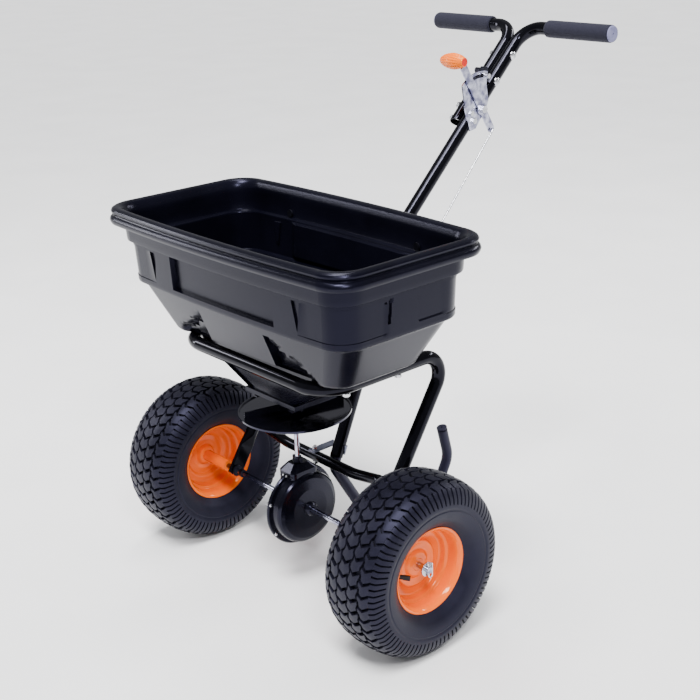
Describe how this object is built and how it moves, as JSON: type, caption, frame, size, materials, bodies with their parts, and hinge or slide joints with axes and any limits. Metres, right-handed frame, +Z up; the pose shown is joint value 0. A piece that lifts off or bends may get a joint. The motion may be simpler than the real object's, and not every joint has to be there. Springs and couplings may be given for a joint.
{
  "type": "garden spreader",
  "caption": "Walk-behind broadcast spreader: tapered hopper on a tube frame, geared spinner disc, two pneumatic wheels, T-handle with flow lever and rod.",
  "frame": {"origin": "centre of the bounding box at ground level, under the tyres", "axes": "+Z up, +X along the axle to the side with the driven wheel, +Y towards the handle"},
  "size_m": [0.752, 0.8144, 1.0105],
  "materials": {
    "hopper_plastic": "satin moulded",
    "spinner_plastic": "gloss moulded",
    "frame_paint": "gloss powder coat",
    "zinc": "bright zinc plate",
    "bright_steel": "polished",
    "grip_foam": "matt foam",
    "cap_plastic": "matt",
    "black_plastic": "satin",
    "gearbox_plastic": "gloss moulded",
    "gear_nylon": "matt",
    "rim_paint": "gloss",
    "knob_plastic": "gloss ribbed",
    "valve_rubber": "matt",
    "tyre": "matt"
  },
  "bodies": {
    "chassis": {"hopper": "hopper_plastic", "hopper_base": "hopper_plastic", "frame_bolts": "zinc", "wall_screws": "zinc", "frame_loop": "frame_paint", "axle_bushes": "black_plastic", "cross_tube": "frame_paint", "brace_strap": "zinc", "strap_bolt": "zinc", "stem_tube": "frame_paint", "handle_tube": "frame_paint", "handle_bolts": "zinc", "grip_right": "grip_foam", "grip_left": "grip_foam", "grip_caps": "cap_plastic", "stand_tube": "frame_paint", "stand_cap": "black_plastic", "quadrant_plate": "bright_steel", "quadrant_bolt": "zinc", "pivot_bolt": "zinc", "stop_bolt": "zinc", "stop_knob": "black_plastic", "gearbox_right": "gearbox_plastic", "gearbox_left": "gearbox_plastic", "gearbox_screws": "zinc", "shaft_collar": "black_plastic"},
    "axle_set": {"axle": "bright_steel", "axle_collars": "black_plastic", "axle_washers": "zinc", "cotter_pins": "zinc", "face_gear": "gear_nylon", "hub_right": "rim_paint", "rim_right": "rim_paint", "valve_right": "valve_rubber", "tyre_right": "tyre"},
    "wheel_left": {"hub_left": "rim_paint", "rim_left": "rim_paint", "valve_left": "valve_rubber", "tyre_left": "tyre"},
    "spinner": {"spinner_shaft": "bright_steel", "spinner_disc": "spinner_plastic", "spinner_pin": "zinc", "pinion": "gear_nylon", "agitator": "zinc"},
    "lever": {"lever_arm": "bright_steel", "lever_knob": "knob_plastic"},
    "rod": {"control_rod": "zinc"},
    "gate": {"shutter": "spinner_plastic"}
  },
  "joints": [
    {"name": "axle_spin", "type": "hinge", "parent": "chassis", "child": "axle_set", "pos_m": [0, -0.22525, 0.165], "axis": [1, 0, 0], "continuous": true},
    {"name": "wheel_left_spin", "type": "hinge", "parent": "axle_set", "child": "wheel_left", "pos_m": [-0.309, -0.22525, 0.165], "axis": [1, 0, 0], "continuous": true},
    {"name": "spinner_spin", "type": "hinge", "parent": "chassis", "child": "spinner", "pos_m": [0, -0.22525, 0.36], "axis": [0, 0, 1], "continuous": true},
    {"name": "lever_swing", "type": "hinge", "parent": "chassis", "child": "lever", "pos_m": [0.031, 0.24775, 0.85473], "axis": [1, 0, 0], "range_deg": [-28, 0]},
    {"name": "rod_pivot", "type": "hinge", "parent": "lever", "child": "rod", "pos_m": [0.031, 0.27275, 0.81373], "axis": [1, 0, 0], "range_deg": [0, 28]},
    {"name": "gate_slide", "type": "slide", "parent": "chassis", "child": "gate", "axis": [0, -1, 0], "range_m": [0, 0.022]}
  ],
  "couplings": [
    {"joint": "spinner_spin", "follows": "axle_spin", "ratio": -4},
    {"joint": "rod_pivot", "follows": "lever_swing", "ratio": -1},
    {"joint": "gate_slide", "follows": "lever_swing", "m_per_rad": -0.045}
  ]
}
